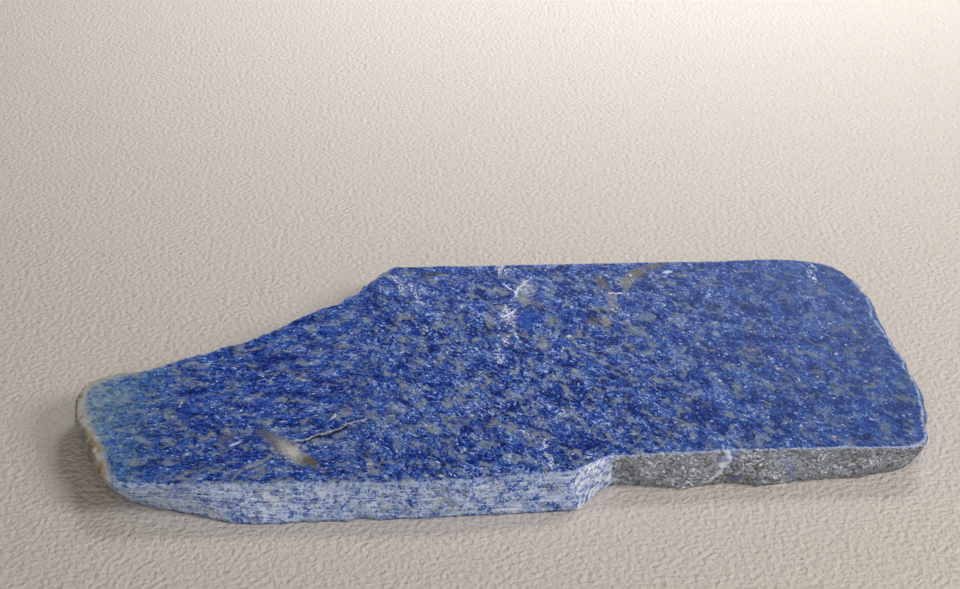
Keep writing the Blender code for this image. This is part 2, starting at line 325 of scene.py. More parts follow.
def weight_group(piece, name, weights):
    group = piece.vertex_groups.new(name=name)
    for index in np.flatnonzero(weights > LEAST_WEIGHT):
        group.add([int(index)], float(weights[index]), "REPLACE")
    return group.name


def noise_texture(name, basis, size_mm, depth):
    texture = bpy.data.textures.new(name, "CLOUDS")
    texture.noise_basis = basis
    texture.noise_scale = size_mm * MM
    texture.noise_depth = depth
    return texture


def open_wall(piece):
    """Merge the loose triangles, and leave the wall alone, in quads."""
    bpy.ops.object.mode_set(mode="EDIT")
    bpy.ops.mesh.select_all(action="SELECT")
    bpy.ops.mesh.remove_doubles(threshold=MERGE_DISTANCE)
    select_where(piece, "FACE", lambda face: abs(face.normal.z) > LEVEL_NORMAL)
    bpy.ops.mesh.delete(type="FACE")
    bpy.ops.mesh.select_all(action="SELECT")
    bpy.ops.mesh.tris_convert_to_quads(face_threshold=math.pi, shape_threshold=math.pi)
    bpy.ops.object.mode_set(mode="OBJECT")


def close_flat_face(piece, level, rings, ring_width):
    """Fill the rim at a level, and divide the new face into rings along the rim."""
    bpy.ops.object.mode_set(mode="EDIT")
    select_where(
        piece, "EDGE", lambda edge: edge.is_boundary and all(abs(v.co.z - level) < NEAR for v in edge.verts)
    )
    bpy.ops.mesh.edge_face_add()
    bpy.ops.mesh.select_mode(type="FACE")
    for _ in range(rings):
        bpy.ops.mesh.inset(thickness=ring_width, use_even_offset=False)
    bpy.ops.object.mode_set(mode="OBJECT")


def rim_distance(places, rim):
    """How far each place is from the nearest sawn edge, in millimetres."""
    tree = KDTree(len(rim))
    for index, spot in enumerate(rim):
        tree.insert(spot, index)
    tree.balance()
    return np.array([tree.find(spot)[2] for spot in places]) / MM


def displace(piece, name, share, basis, size_mm, depth, strength, direction="NORMAL"):
    apply_modifier(
        piece,
        name,
        "DISPLACE",
        texture=noise_texture(name, basis, size_mm, depth),
        texture_coords="LOCAL",
        direction=direction,
        mid_level=0.5,
        strength=strength,
        vertex_group=weight_group(piece, name, np.clip(share, 0.0, 1.0)),
    )


def roughen(piece, relief, kinds, rim_mm):
    """Nick the sawn edges sideways, then displace the wall along its normals, each kind of edge by its own grain."""
    places = places_of(piece.data)
    height = places[:, 2]
    on_wall = (height > UNDERSIDE + NEAR) & (height < TOP_FACE - NEAR)
    wall = on_wall * smooth_step(rim_mm, -0.3, 0.7)
    brittle = 0.5 + 0.5 * (kinds["crust"] + kinds["notch"]) + 0.25 * kinds["rough_cut"] + 0.1 * kinds["broken"]
    worn_end = 1.0 - 0.6 * smooth_step(places[:, 0] / MM, 55.0, 70.0)
    nicked = brittle * worn_end * (1.0 - smooth_step(rim_mm, 0.1, 1.1))
    displace(piece, "nicks_across", nicked, "BLENDER_ORIGINAL", 1.1, 3, relief.nick, "X")
    displace(piece, "nicks_along", nicked, "BLENDER_ORIGINAL", 0.9, 3, relief.nick, "Y")
    for name, share, basis, size_mm, depth, strength in (
        ("crust_lumps", kinds["crust"], "BLENDER_ORIGINAL", 2.4, 3, relief.crust),
        ("crust_pits", kinds["crust"], "VORONOI_F1", 0.9, 0, relief.crust * 0.4),
        ("break_scars", kinds["broken"] * worn_end, "VORONOI_F1", 2.6, 1, relief.broken),
        ("break_grain", kinds["broken"] + kinds["crust"] + kinds["notch"], "BLENDER_ORIGINAL", 0.55, 3, relief.grain),
        ("notch_scars", kinds["notch"], "VORONOI_F1", 1.6, 1, relief.broken * 0.6),
        ("rock_pits", kinds["rock"], "BLENDER_ORIGINAL", 1.5, 4, relief.rock),
        ("rock_grain", kinds["rock"], "VORONOI_F1", 0.7, 0, relief.rock * 0.4),
        ("cut_waves", kinds["rough_cut"], "BLENDER_ORIGINAL", 1.6, 4, relief.rough_cut),
        ("back_waves", kinds["back_cut"], "BLENDER_ORIGINAL", 1.2, 3, relief.rough_cut * 0.5),
    ):
        displace(piece, name, share * wall, basis, size_mm, depth, strength)
    for group in list(piece.vertex_groups):
        piece.vertex_groups.remove(group)


def flatten_beyond(piece, level, upwards):
    """Bring every vertex that stands out beyond a flat face back into its plane."""
    bpy.ops.object.mode_set(mode="EDIT")
    select_where(piece, "VERT", lambda vert: (vert.co.z > level) == upwards and vert.co.z != level)
    bpy.ops.transform.resize(value=(1.0, 1.0, 0.0), center_override=(0.0, 0.0, level))
    bpy.ops.object.mode_set(mode="OBJECT")


def convexity(mesh):
    """How far each vertex stands out of its neighbours, in millimetres along its normal."""
    places = places_of(mesh)
    edges = np.empty(len(mesh.edges) * 2, dtype=np.int64)
    mesh.edges.foreach_get("vertices", edges)
    edges = edges.reshape(-1, 2)
    total = np.zeros_like(places)
    count = np.zeros(len(places))
    for here, there in ((0, 1), (1, 0)):
        np.add.at(total, edges[:, here], places[edges[:, there]])
        np.add.at(count, edges[:, here], 1.0)
    normals = np.empty(len(mesh.vertices) * 3)
    mesh.vertices.foreach_get("normal", normals)
    away = places - total / np.maximum(count, 1.0)[:, None]
    return (away * normals.reshape(-1, 3)).sum(axis=1) / MM


class LAPIS_OT_model_slab(bpy.types.Operator):
    """Model the slab's fine surface over its solid and give it the stone's material"""

    bl_idname = "lapis.model_slab"
    bl_label = "Model the lapis slab"

    def execute(self, context):
        relief = context.scene.lapis_relief
        colours = context.scene.lapis_colours
        piece = bpy.data.objects.new("lapis_slab_surface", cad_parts[CAD_NODE].data.copy())
        context.scene.collection.objects.link(piece)
        piece.data.materials.clear()
        select_only(piece)
        open_wall(piece)
        apply_modifier(
            piece,
            "fine_wall",
            "SUBSURF",
            levels=relief.wall_levels,
            render_levels=relief.wall_levels,
        )
        places = places_of(piece.data)
        rim = places[(places[:, 2] > TOP_FACE - NEAR) | (places[:, 2] < UNDERSIDE + NEAR)]
        close_flat_face(piece, TOP_FACE, TOP_RINGS, relief.rim_ring)
        close_flat_face(piece, UNDERSIDE, UNDERSIDE_RINGS, relief.rim_ring)
        bpy.ops.object.mode_set(mode="EDIT")
        bpy.ops.mesh.select_all(action="SELECT")
        bpy.ops.mesh.normals_make_consistent(inside=False)
        bpy.ops.object.mode_set(mode="OBJECT")
        mesh = piece.data
        places = places_of(mesh)
        kinds = edge_kinds(places)
        rim_mm = rim_distance(places, rim)
        heights = [[mesh.vertices[index].co.z for index in face.vertices] for face in mesh.polygons]
        flat = np.array([min(face) > TOP_FACE - NEAR or max(face) < UNDERSIDE + NEAR for face in heights])
        roughen(piece, relief, kinds, rim_mm)
        flatten_beyond(piece, TOP_FACE, True)
        flatten_beyond(piece, UNDERSIDE, False)
        store(mesh, "on_wall", np.where(flat, 0.0, 1.0), "FACE")
        store(mesh, "rim_mm", rim_mm)
        for name, share in kinds.items():
            store(mesh, name, share)
        store(mesh, "ridge", convexity(mesh))
        select_only(piece)
        bpy.ops.object.shade_smooth_by_angle(angle=SHARP_ANGLE)
        mesh.materials.append(lapis_material(colours))
        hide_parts(CAD_NODE)
        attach(piece, "root")
        return {"FINISHED"}


def add(tree, kind, inputs=None, stops=None, points=None, **settings):
    """A new node with its settings, its ramp stops or curve points, and its inputs set or linked."""
    made = tree.nodes.new(kind)
    for setting, value in settings.items():
        setattr(made, setting, value)
    if stops:
        ramp = made.color_ramp
        while len(ramp.elements) < len(stops):
            ramp.elements.new(0.5)
        for element, (position, colour) in zip(ramp.elements, stops):
            element.position = position
            element.color = (*colour, 1.0)
    if points:
        curve = made.mapping.curves[0]
        while len(curve.points) < len(points):
            curve.points.new(0.5, 0.5)
        for knot, spot in zip(curve.points, points):
            knot.location = spot
        made.mapping.update()
    for name, value in (inputs or {}).items():
        socket = made.inputs[name]
        if isinstance(name, str):
            socket = next(s for s in made.inputs if s.enabled and s.name == name)
        if isinstance(value, bpy.types.Node):
            value = next(s for s in value.outputs if s.enabled)
        if isinstance(value, bpy.types.NodeSocket):
            tree.links.new(value, socket)
        else:
            socket.default_value = value
    return made


def speckle(tree, place, wave_mm, low, high, detail, roughness, seed):
    """A mask of irregular flecks, one every wave_mm or so: 1 in a fleck, 0 between them."""
    moved = add(tree, "ShaderNodeVectorMath", {0: place, 1: (seed, seed * 0.7, -seed)}, operation="ADD")
    noise = add(
        tree,
        "ShaderNodeTexNoise",
        {"Vector": moved, "Scale": 1.0 / wave_mm, "Detail": detail, "Roughness": roughness},
    )
    return add(
        tree,
        "ShaderNodeMapRange",
        {"Value": noise.outputs["Fac"], "From Min": low, "From Max": high},
        interpolation_type="SMOOTHSTEP",
    )


def blotch(tree, place, torn, centre, reach, turn, ragged):
    """A mask of one ragged oval patch, centred and turned in millimetres and degrees."""
    local = add(
        tree,
        "ShaderNodeMapping",
        {
            "Vector": place,
            "Location": (*centre, 0.0),
            "Rotation": (0.0, 0.0, math.radians(turn)),
            "Scale": (*reach, 50.0),
        },
        vector_type="TEXTURE",
    )
    away = add(tree, "ShaderNodeVectorMath", {0: local}, operation="LENGTH").outputs["Value"]
    away = add(tree, "ShaderNodeMath", {0: torn, 1: 4.0 * ragged, 2: away}, operation="MULTIPLY_ADD")
    return add(
        tree,
        "ShaderNodeMapRange",
        {"Value": away, "From Min": 1.3 + 2.0 * ragged, "From Max": 0.55 + 2.0 * ragged},
        interpolation_type="SMOOTHSTEP",
    )


def vein(tree, across, along, line, width, swing):
    """A mask of one thin vein: its line gives (along, across) points in millimetres, sorted along."""
    first, last = line[0][0], line[-1][0]
    lowest = min(spot[1] for spot in line) - 1.0
    span = max(spot[1] for spot in line) + 1.0 - lowest
    share = add(tree, "ShaderNodeMapRange", {"Value": along, "From Min": first, "From Max": last})
    course = add(
        tree,
        "ShaderNodeFloatCurve",
        {"Value": share},
        points=[((a - first) / (last - first), (c - lowest) / span) for a, c in line],
    )
    course = add(tree, "ShaderNodeMath", {0: course, 1: span, 2: lowest}, operation="MULTIPLY_ADD")
    course = add(tree, "ShaderNodeMath", {0: course, 1: swing}, operation="ADD")
    gap = add(tree, "ShaderNodeMath", {0: across, 1: course}, operation="SUBTRACT")
    gap = add(tree, "ShaderNodeMath", {0: gap}, operation="ABSOLUTE")
    mask = add(
        tree,
        "ShaderNodeMapRange",
        {"Value": gap, "From Min": width, "From Max": width * 0.4},
        interpolation_type="SMOOTHSTEP",
    )
    inside = add(
        tree, "ShaderNodeMath", {0: along, 1: (first + last) / 2, 2: abs(last - first) / 2}, operation="COMPARE"
    )
    return add(tree, "ShaderNodeMath", {0: mask, 1: inside}, operation="MULTIPLY")


def lapis_material(colours):
    """Sawn, unpolished lapis lazuli, with the weathered crust, host rock and breaks of its edges.

    It is a tight mosaic of blue lazurite and pale calcite grains about half a millimetre across, so it looks
    deep blue with grey-beige flecks. The saw leaves it satin-matte, and a faint sheen of light from behind is
    painted into its colour towards the back.
    """
    material = bpy.data.materials.new("lapis_lazuli_sawn")
    material.use_nodes = True
    tree = material.node_tree
    shader = tree.nodes["Principled BSDF"]
    place = add(tree, "ShaderNodeTexCoord").outputs["Object"]
    place = add(tree, "ShaderNodeVectorMath", {0: place, "Scale": 1.0 / MM}, operation="SCALE").outputs["Vector"]
    parts = add(tree, "ShaderNodeSeparateXYZ", {0: place}).outputs
    x, y, z = parts["X"], parts["Y"], parts["Z"]
    axis = {"x": x, "y": y, "z": z}

    # Where the wall is, and each kind of edge on it. The kinds meet along ragged borders.
    torn = add(tree, "ShaderNodeTexNoise", {"Vector": place, "Scale": 0.9, "Detail": 5.0, "Roughness": 0.78})
    torn = torn.outputs["Fac"]
    zones = {
        name: add(tree, "ShaderNodeAttribute", attribute_name=name).outputs["Fac"]
        for name in ("on_wall", "rim_mm", "crust", "rough_cut", "notch", "rock", "back_cut", "broken", "ridge")
    }
    sides = {}
    for name in ("crust", "rough_cut", "notch", "rock", "back_cut", "broken"):
        border = add(tree, "ShaderNodeMath", {0: torn, 1: 1.6, 2: zones[name]}, operation="MULTIPLY_ADD")
        sides[name] = add(tree, "ShaderNodeMapRange", {"Value": border, "From Min": 1.15, "From Max": 1.45})
        zones[name] = add(tree, "ShaderNodeMath", {0: sides[name], 1: zones["on_wall"]}, operation="MULTIPLY")

    # The grains lie along faint streaks, which cross the slab on the right and follow it at the left end.
    crossing = add(
        tree,
        "ShaderNodeMapping",
        {"Vector": place, "Rotation": (0.0, 0.0, math.radians(-60)), "Scale": (1.45, 1.0, 1.0)},
        vector_type="TEXTURE",
    )
    following = add(
        tree,
        "ShaderNodeMapping",
        {"Vector": place, "Rotation": (0.0, 0.0, math.radians(-4)), "Scale": (1.3, 1.0, 1.0)},
        vector_type="TEXTURE",
    )
    leftness = add(tree, "ShaderNodeMath", {0: torn, 1: 34.0, 2: x}, operation="MULTIPLY_ADD")
    leftness = add(tree, "ShaderNodeMath", {0: leftness, 1: -11.0}, operation="LESS_THAN")
    streaks = add(tree, "ShaderNodeMix", {"Factor": leftness, "A": crossing, "B": following}, data_type="VECTOR")
    warp = add(tree, "ShaderNodeTexNoise", {"Vector": streaks, "Scale": 0.5, "Detail": 2.0})
    warp = add(tree, "ShaderNodeVectorMath", {0: warp.outputs["Color"], 1: (0.5,) * 3}, operation="SUBTRACT")
    warp = add(tree, "ShaderNodeVectorMath", {0: warp, "Scale": 2.0}, operation="SCALE")
    grains = add(tree, "ShaderNodeVectorMath", {0: streaks, 1: warp}, operation="ADD").outputs["Vector"]

    # Patches of 8 mm, clouds of 2.2 mm, crystals of 0.45 mm and a finer grain between them.
    patches = add(tree, "ShaderNodeTexNoise", {"Vector": grains, "Scale": 0.12, "Detail": 1.0})
    clouds = add(tree, "ShaderNodeTexNoise", {"Vector": grains, "Scale": 0.45, "Detail": 1.5})
    fine = add(tree, "ShaderNodeTexNoise", {"Vector": grains, "Scale": 1.6, "Detail": 2.0, "Roughness": 0.7})
    crystals = add(tree, "ShaderNodeTexVoronoi", {"Vector": grains, "Scale": 2.2})
    crystal = add(tree, "ShaderNodeSeparateColor", {0: crystals.outputs["Color"]}).outputs
    splinters = add(tree, "ShaderNodeTexVoronoi", {"Vector": grains, "Scale": 3.9})
    splinter = add(tree, "ShaderNodeSeparateColor", {0: splinters.outputs["Color"]}).outputs
    grain = fine.outputs["Fac"]
    tone = add(tree, "ShaderNodeMath", {0: patches.outputs["Fac"], 1: 0.35}, operation="MULTIPLY")
    tone = add(tree, "ShaderNodeMath", {0: clouds.outputs["Fac"], 1: 0.85, 2: tone}, operation="MULTIPLY_ADD")
    tone = add(tree, "ShaderNodeMath", {0: grain, 1: 1.1, 2: tone}, operation="MULTIPLY_ADD")
    tone = add(tree, "ShaderNodeMath", {0: crystal["Red"], 1: 0.42, 2: tone}, operation="MULTIPLY_ADD")
    tone = add(tree, "ShaderNodeMath", {0: splinter["Red"], 1: 0.2, 2: tone}, operation="MULTIPLY_ADD")
    glint = add(tree, "ShaderNodeMath", {0: splinter["Red"], 1: 5.0}, operation="POWER")
    tone = add(tree, "ShaderNodeMath", {0: glint, 1: 0.35, 2: tone}, operation="MULTIPLY_ADD")
    tone = add(tree, "ShaderNodeMath", {0: tone, 1: 1.518}, operation="SUBTRACT")
    # The middle has the strongest contrast, and both ends are more even. The unpolished cut is paler.
    contrast = add(tree, "ShaderNodeMath", {0: x, 1: 5.0}, operation="SUBTRACT")
    contrast = add(tree, "ShaderNodeMath", {0: contrast}, operation="ABSOLUTE")
    contrast = add(tree, "ShaderNodeMath", {0: contrast, 1: -0.0068, 2: 1.55}, operation="MULTIPLY_ADD")
    tone = add(tree, "ShaderNodeMath", {0: tone, 1: contrast, 2: 0.385}, operation="MULTIPLY_ADD")
    tone = add(tree, "ShaderNodeMath", {0: zones["rough_cut"], 1: 0.42, 2: tone}, operation="MULTIPLY_ADD")
    body = add(
        tree,
        "ShaderNodeValToRGB",
        {"Fac": tone},
        stops=[
            (0.0, linear("#041454")),
            (0.14, colours.navy),
            (0.36, colours.deep),
            (0.56, colours.blue),
            (0.74, colours.pale),
            (0.92, colours.clouded),
            (1.0, linear("#b4c6ea")),
        ],
    )

    # Grey-beige calcite flecks, fewer towards the right end, bright blue ones, dark specks and tiny white points.
    beige = speckle(tree, grains, 2.5, 0.5, 0.62, 5.0, 0.8, 31.0)
    vivid = speckle(tree, grains, 3.4, 0.52, 0.64, 3.0, 0.65, 47.0)
    dark = speckle(tree, grains, 1.6, 0.66, 0.72, 3.0, 0.6, 77.0)
    dots = add(
        tree,
        "ShaderNodeMapRange",
        {"Value": crystals.outputs["Distance"], "From Min": 0.62, "From Max": 0.32},
        interpolation_type="SMOOTHSTEP",
    )
    clustered = add(
        tree, "ShaderNodeMath", {0: clouds.outputs["Fac"], 1: 0.13, 2: crystal["Green"]}, operation="MULTIPLY_ADD"
    )
    rare = add(tree, "ShaderNodeMath", {0: clustered, 1: 1.035}, operation="GREATER_THAN")
    common = add(tree, "ShaderNodeMath", {0: crystal["Blue"], 1: 0.22}, operation="GREATER_THAN")
    points = add(tree, "ShaderNodeMath", {0: dots, 1: rare}, operation="MULTIPLY")
    chain = add(tree, "ShaderNodeMath", {0: dots, 1: common}, operation="MULTIPLY")
    behind = add(tree, "ShaderNodeMath", {0: x, 1: 0.4, 2: y}, operation="MULTIPLY_ADD")
    right_end = add(tree, "ShaderNodeMath", {0: x, 1: 1.2, 2: y}, operation="MULTIPLY_ADD")
    fewer = add(
        tree,
        "ShaderNodeMapRange",
        {"Value": right_end, "From Min": 25.0, "From Max": 110.0, "To Min": 1.0, "To Max": 0.5},
    )
    beige = add(tree, "ShaderNodeMath", {0: beige, 1: fewer}, operation="MULTIPLY")
    warmer = add(tree, "ShaderNodeMath", {0: beige, 1: crystal["Blue"]}, operation="MULTIPLY")
    layers = [
        (vivid, 0.25, linear("#1a4cb4")),
        (beige, 0.62, colours.beige),
        (warmer, 0.42, linear("#abaca4")),
        (dark, 0.6, linear("#262830")),
        (points, 0.75, colours.white),
    ]

    # The right end is more even and greyer, partly as a painted sheen, and a faint painted sheen of light
    # from behind lies towards the back.
    even = add(tree, "ShaderNodeMapRange", {"Value": x, "From Min": 15.0, "From Max": 80.0, "To Max": 0.28})
    painted_sheen = add(tree, "ShaderNodeMapRange", {"Value": behind, "From Min": 5.0, "From Max": 70.0, "To Max": 0.08})
    layers += [(even, 1.0, linear("#586a82")), (painted_sheen, 1.0, linear("#aab6cc"))]

    # Veins and patches on the sawn top, which fade raggedly down the wall.
    upper = add(tree, "ShaderNodeMath", {0: torn, 1: 5.0, 2: z}, operation="MULTIPLY_ADD")
    upper = add(tree, "ShaderNodeMapRange", {"Value": upper, "From Min": 6.5, "From Max": 8.5})
    swing = add(tree, "ShaderNodeMath", {0: torn, 1: 3.0, 2: -1.5}, operation="MULTIPLY_ADD")
    granular, soft = (
        add(
            tree,
            "ShaderNodeMapRange",
            {"Value": splinter["Green"], "From Min": 0.05, "From Max": 0.6, "To Min": lowest, "To Max": 1.0},
        )
        for lowest in (0.15, 0.6)
    )
    textures = {"chain": chain, "granular": granular, "soft": soft}
    for centre, reach, turn, ragged, strength, kept, colour in TOP_PATCHES:
        mask = blotch(tree, place, torn, centre, reach, turn, ragged)
        mask = add(tree, "ShaderNodeMath", {0: mask, 1: upper}, operation="MULTIPLY")
        mask = add(tree, "ShaderNodeMath", {0: mask, 1: textures[kept]}, operation="MULTIPLY")
        colour = linear(colour) if colour.startswith("#") else getattr(colours, colour)
        layers.append((mask, strength, colour))
    for across, along, line, width, strength, kept, colour in TOP_VEINS:
        mask = vein(tree, axis[across], axis[along], line, width, swing)
        mask = add(tree, "ShaderNodeMath", {0: mask, 1: upper}, operation="MULTIPLY")
        if kept:
            mask = add(tree, "ShaderNodeMath", {0: mask, 1: textures[kept]}, operation="MULTIPLY")
        layers.append((mask, strength, linear(colour)))

    # The weathered left end fades to a greenish grey, and whitens towards the rim.
    fade = add(tree, "ShaderNodeMath", {0: torn, 1: 50.0, 2: x}, operation="MULTIPLY_ADD")
    fade = add(tree, "ShaderNodeMath", {0: splinter["Blue"], 1: 5.0, 2: fade}, operation="MULTIPLY_ADD")
    worn = add(tree, "ShaderNodeMapRange", {"Value": fade, "From Min": -35.0, "From Max": -50.0})
    pale_end = add(tree, "ShaderNodeMapRange", {"Value": fade, "From Min": -45.0, "From Max": -54.0})
    worn = add(tree, "ShaderNodeMath", {0: worn, 1: granular}, operation="MULTIPLY")
    layers += [(worn, 0.62, linear("#6a9eae")), (pale_end, 0.42, linear("#bec6be"))]

    # The wall: saw dust and bright saw marks on the unpolished cut, blue along its borders.
    saw = add(
        tree,
        "ShaderNodeMapping",
        {"Vector": place, "Rotation": (0.0, math.radians(5), 0.0), "Scale": (0.14, 0.3, 3.4)},
    )
    streak = add(tree, "ShaderNodeTexNoise", {"Vector": saw, "Scale": 1.0, "Detail": 4.0, "Roughness": 0.65})
    mottle = add(tree, "ShaderNodeTexNoise", {"Vector": place, "Scale": 0.5, "Detail": 6.0, "Roughness": 0.82})
    dusty = add(tree, "ShaderNodeMath", {0: mottle.outputs["Fac"], 1: 10.0, 2: -6.25}, operation="MULTIPLY_ADD")
    dusty = add(tree, "ShaderNodeMath", {0: streak.outputs["Fac"], 1: 2.2, 2: dusty}, operation="MULTIPLY_ADD")
    dusty = add(tree, "ShaderNodeMath", {0: splinter["Green"], 1: 0.7, 2: dusty}, operation="MULTIPLY_ADD")
    bluer = add(
        tree,
        "ShaderNodeMapRange",
        {"Value": x, "From Min": -65.0, "From Max": 8.0, "To Min": -0.15, "To Max": 0.3},
    )
    dusty = add(tree, "ShaderNodeMath", {0: dusty, 1: bluer}, operation="SUBTRACT", use_clamp=True)
    blue_edge = add(tree, "ShaderNodeMath", {0: torn, 1: 6.0, 2: zones["rim_mm"]}, operation="MULTIPLY_ADD")
    blue_edge = add(tree, "ShaderNodeMapRange", {"Value": blue_edge, "From Min": 3.0, "From Max": 4.2})
    dusty = add(tree, "ShaderNodeMath", {0: dusty, 1: blue_edge}, operation="MULTIPLY")
    dusty = add(tree, "ShaderNodeMath", {0: dusty, 1: zones["rough_cut"]}, operation="MULTIPLY")
    cream = speckle(tree, place, 3.0, 0.52, 0.6, 5.0, 0.8, 12.0)
    cream = add(tree, "ShaderNodeMath", {0: cream, 1: zones["rough_cut"]}, operation="MULTIPLY")
    scored = add(tree, "ShaderNodeMapRange", {"Value": streak.outputs["Fac"], "From Min": 0.55, "From Max": 0.66})
    scored = add(tree, "ShaderNodeMath", {0: scored, 1: granular}, operation="MULTIPLY")
    scored = add(tree, "ShaderNodeMath", {0: scored, 1: blue_edge}, operation="MULTIPLY")
    scored = add(tree, "ShaderNodeMath", {0: scored, 1: zones["rough_cut"]}, operation="MULTIPLY")
    layers.append((dusty, 0.9, colours.dust))
    layers.append((cream, 0.32, linear("#d0d0c8")))
    layers.append((scored, 0.85, linear("#f8faff")))
    crept = add(tree, "ShaderNodeMath", {0: torn, 1: -7.0, 2: zones["rim_mm"]}, operation="MULTIPLY_ADD")
    crept = add(tree, "ShaderNodeMath", {0: splinter["Blue"], 1: 1.0, 2: crept}, operation="MULTIPLY_ADD")
    crept = add(tree, "ShaderNodeMapRange", {"Value": crept, "From Min": -2.5, "From Max": -3.3})
    crept = add(tree, "ShaderNodeMath", {0: crept, 1: sides["rough_cut"]}, operation="MULTIPLY")
    layers.append((crept, 0.8, linear("#aebbd2")))
    # A dark band along the foot of the unpolished cut is painted contact shade.
    painted_contact_shade = add(tree, "ShaderNodeMath", {0: torn, 1: 2.4, 2: z}, operation="MULTIPLY_ADD")
    painted_contact_shade = add(tree, "ShaderNodeMapRange", {"Value": painted_contact_shade, "From Min": 1.9, "From Max": 1.3})
    painted_contact_shade = add(tree, "ShaderNodeMath", {0: painted_contact_shade, 1: zones["rough_cut"]}, operation="MULTIPLY")
    layers.append((painted_contact_shade, 0.55, linear("#2c3c70")))
    # Pale scars on the breaks, and crushed white grains on the step of the front.
    scarred = add(tree, "ShaderNodeMath", {0: mottle.outputs["Fac"], 1: 5.0, 2: -2.45}, operation="MULTIPLY_ADD")
    scarred = add(
        tree,
        "ShaderNodeMath",
        {0: zones["ridge"], 1: 12.0, 2: scarred},
        operation="MULTIPLY_ADD",
        use_clamp=True,
    )
    scarred = add(tree, "ShaderNodeMath", {0: scarred, 1: zones["broken"]}, operation="MULTIPLY")
    layers.append((scarred, 0.6, linear("#97aee0")))
    layers.append((zones["notch"], 0.5, linear("#6488e0")))
    facets = add(
        tree,
        "ShaderNodeMapping",
        {"Vector": place, "Rotation": (0.0, math.radians(42), 0.0), "Scale": (0.6, 0.9, 1.1)},
        vector_type="TEXTURE",
    )
    crushed = speckle(tree, facets.outputs[0], 1.25, 0.44, 0.55, 5.0, 0.85, 91.0)
    crushed = add(tree, "ShaderNodeMath", {0: crushed, 1: zones["notch"]}, operation="MULTIPLY")
    layers.append((crushed, 0.92, linear("#f2f5fc")))
    # The host rock is a salt-and-pepper grey, with brown mica and a few blue and white veins.
    layers.append((zones["rock"], 1.0, colours.rock))
    bedding = add(tree, "ShaderNodeMapping", {"Vector": place, "Scale": (0.6, 1.0, 1.3)}).outputs[0]
    rock_dark = speckle(tree, bedding, 0.9, 0.49, 0.58, 4.0, 0.85, 51.0)
    rock_light = speckle(tree, bedding, 0.5, 0.53, 0.6, 3.0, 0.85, 63.0)
    rock_brown = speckle(tree, bedding, 2.4, 0.54, 0.66, 4.0, 0.75, 19.0)
    rock_glint = add(tree, "ShaderNodeMath", {0: splinter["Red"], 1: 0.93}, operation="GREATER_THAN")
    rock_pit = add(tree, "ShaderNodeMath", {0: splinter["Red"], 1: 0.13}, operation="LESS_THAN")
    for mask, strength, colour in (
        (rock_brown, 0.5, linear("#5f574a")),
        (rock_dark, 0.62, linear("#3c4046")),
        (rock_light, 0.75, linear("#d6d8da")),
        (rock_glint, 0.8, linear("#f2f4f6")),
        (rock_pit, 0.7, linear("#26282a")),
    ):
        mask = add(tree, "ShaderNodeMath", {0: mask, 1: zones["rock"]}, operation="MULTIPLY")
        layers.append((mask, strength, colour))
    for across, along, line, width, strength, colour in ROCK_VEINS:
        mask = vein(tree, axis[across], axis[along], line, width, swing)
        mask = add(tree, "ShaderNodeMath", {0: mask, 1: soft}, operation="MULTIPLY")
        mask = add(tree, "ShaderNodeMath", {0: mask, 1: zones["rock"]}, operation="MULTIPLY")
        layers.append((mask, strength, linear(colour)))
    # The weathered crust is bone grey and lumpy, with rust low on its left.
    layers.append((zones["crust"], 0.8, linear("#b9b5ac")))
    lumps = speckle(tree, place, 1.7, 0.47, 0.6, 5.0, 0.78, 57.0)
    lumps = add(tree, "ShaderNodeMath", {0: lumps, 1: zones["crust"]}, operation="MULTIPLY")
    layers.append((lumps, 0.55, linear("#7c7466")))
    rust = speckle(tree, place, 3.6, 0.44, 0.58, 4.0, 0.7, 8.0)
    low_left = add(tree, "ShaderNodeMapRange", {"Value": y, "From Min": -19.0, "From Max": -26.0, "To Min": 0.2})
    rust = add(tree, "ShaderNodeMath", {0: rust, 1: low_left}, operation="MULTIPLY")
    stained = add(tree, "ShaderNodeMath", {0: rust, 1: zones["crust"]}, operation="MULTIPLY")
    layers.append((stained, 0.8, colours.ochre))
    # The sawn edges are crushed to a thin pale line. Part of it is a painted highlight where the light from the right
    # catches the rim, so the line widens towards the right end. The crust's own rim is worn white for a millimetre.
    chipped = add(tree, "ShaderNodeMath", {0: torn, 1: 2.6, 2: zones["rim_mm"]}, operation="MULTIPLY_ADD")
    painted_rim_highlight = add(tree, "ShaderNodeMapRange", {"Value": x, "From Min": 55.0, "From Max": 75.0, "To Max": 0.12})
    thin = add(tree, "ShaderNodeMath", {0: chipped, 1: painted_rim_highlight}, operation="SUBTRACT")
    thin = add(tree, "ShaderNodeMapRange", {"Value": thin, "From Min": 1.55, "From Max": 1.3})
    spared = add(tree, "ShaderNodeMath", {0: sides["crust"], 1: sides["rough_cut"]}, operation="ADD")
    spared = add(tree, "ShaderNodeMath", {0: 1.0, 1: spared}, operation="SUBTRACT", use_clamp=True)
    thin = add(tree, "ShaderNodeMath", {0: thin, 1: spared}, operation="MULTIPLY")
    thin = add(tree, "ShaderNodeMath", {0: thin, 1: soft}, operation="MULTIPLY")
    layers.append((thin, 0.85, linear("#aebfe6")))
    worn_rim = add(tree, "ShaderNodeMapRange", {"Value": chipped, "From Min": 2.7, "From Max": 1.7})
    worn_rim = add(tree, "ShaderNodeMath", {0: worn_rim, 1: sides["crust"]}, operation="MULTIPLY")
    layers.append((worn_rim, 0.7, linear("#bebcb2")))
    rusty = add(tree, "ShaderNodeMath", {0: worn_rim, 1: rust}, operation="MULTIPLY")
    layers.append((rusty, 0.75, colours.ochre))

    base = body
    for mask, strength, colour in layers:
        if strength != 1.0:
            mask = add(tree, "ShaderNodeMath", {0: mask, 1: strength}, operation="MULTIPLY")
        base = add(tree, "ShaderNodeMix", {"Factor": mask, "A": base, "B": (*colour, 1.0)}, data_type="RGBA")
    tree.links.new(next(s for s in base.outputs if s.enabled), shader.inputs["Base Color"])

